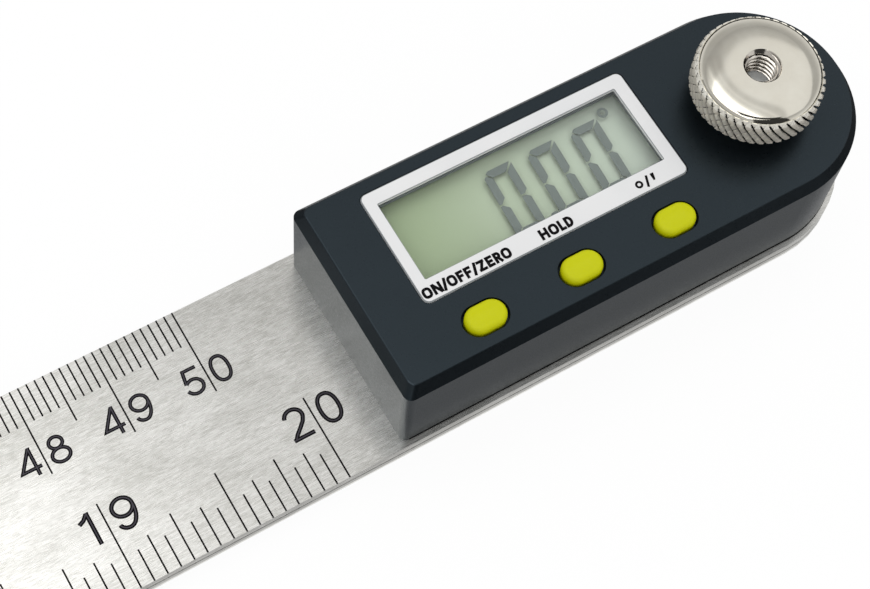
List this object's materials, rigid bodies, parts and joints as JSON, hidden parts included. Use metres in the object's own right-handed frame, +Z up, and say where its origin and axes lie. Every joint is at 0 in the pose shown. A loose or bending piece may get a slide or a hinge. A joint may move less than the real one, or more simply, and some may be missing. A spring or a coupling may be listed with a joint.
{
  "type": "digital angle finder",
  "caption": "Folding angle finder of two long steel rulers on one pivot, with a display housing, push buttons and a knurled lock knob at the pivot end.",
  "frame": {"origin": "on the pivot axis, in the plane of the lower ruler's underside, which the tool rests on", "axes": "+X along the folded rulers from their free end to the pivot, +Y across them to the millimetre edge, +Z up through the housing to the lock knob"},
  "size_m": [0.581, 0.027, 0.0231],
  "materials": {
    "lower_steel": "brushed along its length",
    "upper_steel": "brushed along its length",
    "housing_plastic": "fine satin texture",
    "bezel_print": "printed, smooth",
    "lens_clear": "clear",
    "display_grey": "satin polariser",
    "display_back": "matt reflector",
    "strip_rubber": "soft",
    "board_laminate": "solder mask",
    "zinc_screw": "zinc plated",
    "chip_resin": "cast resin",
    "can_metal": "bright",
    "chip_ceramic": "ceramic",
    "switch_plastic": "moulded",
    "button_plastic": "moulded satin",
    "plunger_plastic": "moulded",
    "stud_steel": "turned",
    "washer_plastic": "thin film",
    "bushing_brass": "turned",
    "spring_steel": "rolled",
    "hub_plastic": "moulded",
    "knob_nickel": "nickel plated, knurled",
    "black_screw": "blackened",
    "holder_plastic": "moulded",
    "contact_nickel": "plated strip",
    "cover_plastic": "moulded",
    "seal_rubber": "soft"
  },
  "bodies": {
    "head": {"upper_blade": "upper_steel", "housing_shell": "housing_plastic", "display_bezel": "bezel_print", "display_lens": "lens_clear", "display_glass": "display_grey", "display_backing": "display_back", "contact_strips": "strip_rubber", "circuit_board": "board_laminate", "board_screws": "zinc_screw", "chip_cap": "chip_resin", "quartz_can": "can_metal", "board_chips": "chip_ceramic", "button_switches": "switch_plastic", "blade_washer": "washer_plastic", "pivot_bushing": "bushing_brass", "roof_bushing": "bushing_brass", "spring_washer": "spring_steel", "housing_screws": "black_screw", "battery_holder": "holder_plastic", "coin_cell": "can_metal", "negative_contact": "contact_nickel", "positive_contact": "contact_nickel"},
    "arm": {"lower_blade": "lower_steel", "pivot_stud": "stud_steel", "retaining_clip": "spring_steel", "rotor_hub": "hub_plastic", "angle_rotor": "board_laminate"},
    "knob_rise": {"thrust_washer": "knob_nickel"},
    "knob": {"lock_knob": "knob_nickel"},
    "zero_key": {"zero_button": "button_plastic", "zero_plunger": "plunger_plastic"},
    "hold_key": {"hold_button": "button_plastic", "hold_plunger": "plunger_plastic"},
    "unit_key": {"unit_button": "button_plastic", "unit_plunger": "plunger_plastic"},
    "cover": {"battery_cover": "cover_plastic", "cover_seal": "seal_rubber"}
  },
  "joints": [
    {"name": "arm_turn", "type": "hinge", "parent": "head", "child": "arm", "pos_m": [0, 0, 0], "axis": [0, 0, 1], "continuous": true},
    {"name": "knob_lift", "type": "slide", "parent": "arm", "child": "knob_rise", "axis": [0, 0, 1], "range_m": [0, 0.0014]},
    {"name": "knob_turn", "type": "hinge", "parent": "knob_rise", "child": "knob", "pos_m": [0, 0, 0.02], "axis": [0, 0, 1], "range_deg": [0, 720]},
    {"name": "zero_press", "type": "slide", "parent": "head", "child": "zero_key", "axis": [0, 0, -1], "range_m": [0, 0.0005], "stiffness_N_per_m": 1500, "springref_m": -0.0002},
    {"name": "hold_press", "type": "slide", "parent": "head", "child": "hold_key", "axis": [0, 0, -1], "range_m": [0, 0.0005], "stiffness_N_per_m": 1500, "springref_m": -0.0002},
    {"name": "unit_press", "type": "slide", "parent": "head", "child": "unit_key", "axis": [0, 0, -1], "range_m": [0, 0.0005], "stiffness_N_per_m": 1500, "springref_m": -0.0002},
    {"name": "cover_turn", "type": "hinge", "parent": "head", "child": "cover", "pos_m": [-0.0283, 0, 0.002], "axis": [0, 0, 1], "range_deg": [0, 45]}
  ],
  "couplings": [
    {"joint": "knob_turn", "follows": "knob_lift", "rad_per_m": 8976}
  ]
}
